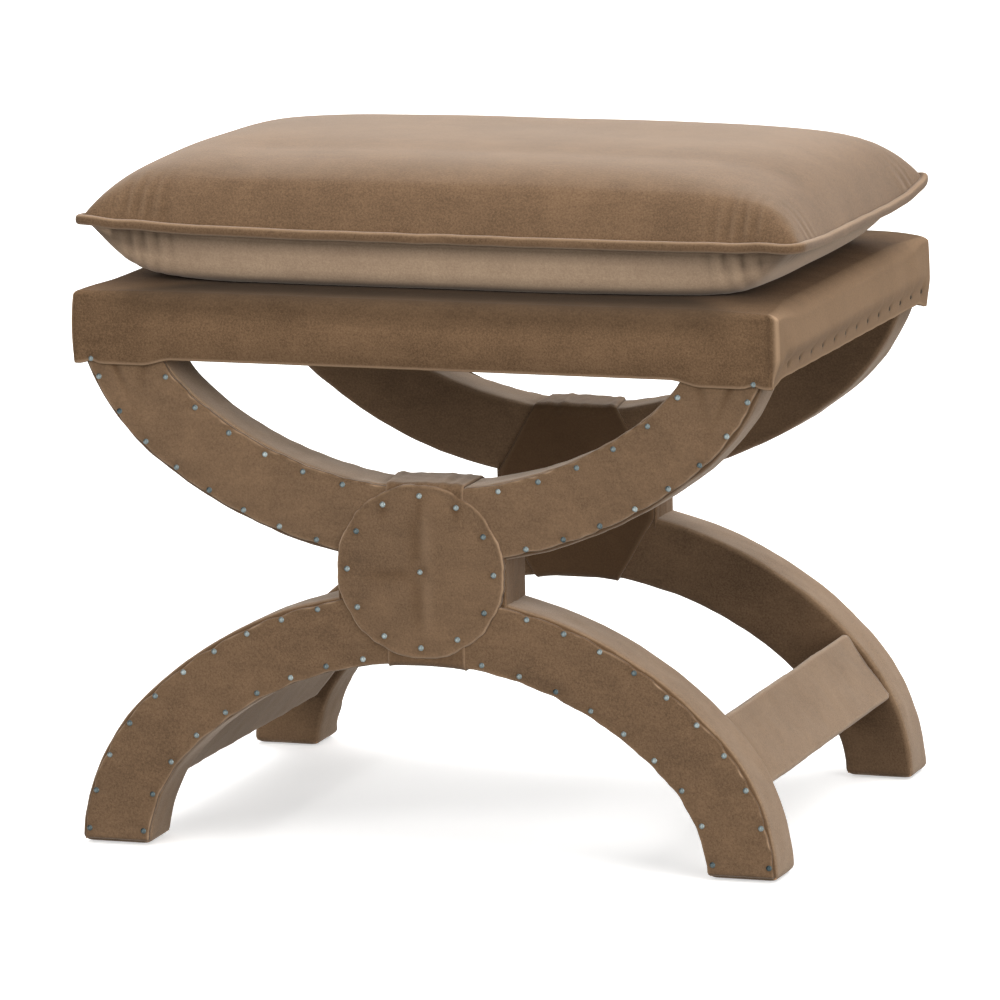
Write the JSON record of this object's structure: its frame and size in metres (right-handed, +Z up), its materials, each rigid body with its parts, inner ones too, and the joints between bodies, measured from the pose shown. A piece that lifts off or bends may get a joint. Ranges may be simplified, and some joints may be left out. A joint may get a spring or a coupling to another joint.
{
  "type": "ottoman",
  "caption": "Upholstered ottoman on a curved X base, with nailed face panels, round hub medallions, side stretchers, a boxed seat and a loose welted cushion.",
  "frame": {"origin": "on the floor under the middle of the ottoman", "axes": "+X along the wide front to the right, +Y to the back, +Z up"},
  "size_m": [0.63, 0.4908, 0.58],
  "materials": {
    "velvet": "matte",
    "hardwood": "matte",
    "plywood": "matte",
    "foam": "matte",
    "filling": "matte",
    "nail_steel": "satin",
    "screw_steel": "satin",
    "dust_cloth": "matte",
    "glide_plastic": "matte"
  },
  "bodies": {
    "base": {"front_upper_arc": "hardwood", "front_lower_arc": "hardwood", "front_hub_block": "hardwood", "front_hub_dowels": "hardwood", "front_upper_cover": "velvet", "front_lower_cover": "velvet", "front_hub_wrap": "velvet", "front_medallion_cover": "velvet", "front_upper_left_panel": "velvet", "front_upper_right_panel": "velvet", "front_lower_left_panel": "velvet", "front_lower_right_panel": "velvet", "front_medallion_board": "plywood", "front_arm_nails": "nail_steel", "front_medallion_nails": "nail_steel", "rear_upper_arc": "hardwood", "rear_lower_arc": "hardwood", "rear_hub_block": "hardwood", "rear_hub_dowels": "hardwood", "rear_upper_cover": "velvet", "rear_lower_cover": "velvet", "rear_hub_wrap": "velvet", "rear_medallion_cover": "velvet", "rear_upper_left_panel": "velvet", "rear_upper_right_panel": "velvet", "rear_lower_left_panel": "velvet", "rear_lower_right_panel": "velvet", "rear_medallion_board": "plywood", "rear_arm_nails": "nail_steel", "rear_medallion_nails": "nail_steel", "left_stretcher": "hardwood", "right_stretcher": "hardwood", "stretcher_dowels": "hardwood", "left_stretcher_cover": "velvet", "right_stretcher_cover": "velvet", "front_rail": "hardwood", "rear_rail": "hardwood", "left_rail": "hardwood", "right_rail": "hardwood", "corner_blocks": "hardwood", "seat_deck": "plywood", "deck_screws": "screw_steel", "frame_screws": "screw_steel", "seat_pad": "foam", "seat_cover": "velvet", "dust_cover": "dust_cloth", "side_tacks": "nail_steel", "corner_nails": "nail_steel", "foot_glides": "glide_plastic"},
    "cushion": {"cushion_filling": "filling", "cushion_top_cover": "velvet", "cushion_bottom_cover": "velvet", "cushion_welt": "velvet"}
  },
  "joints": [
    {"name": "cushion_lift", "type": "slide", "parent": "base", "child": "cushion", "axis": [0, 0, 1], "range_m": [0, 0.15]}
  ]
}
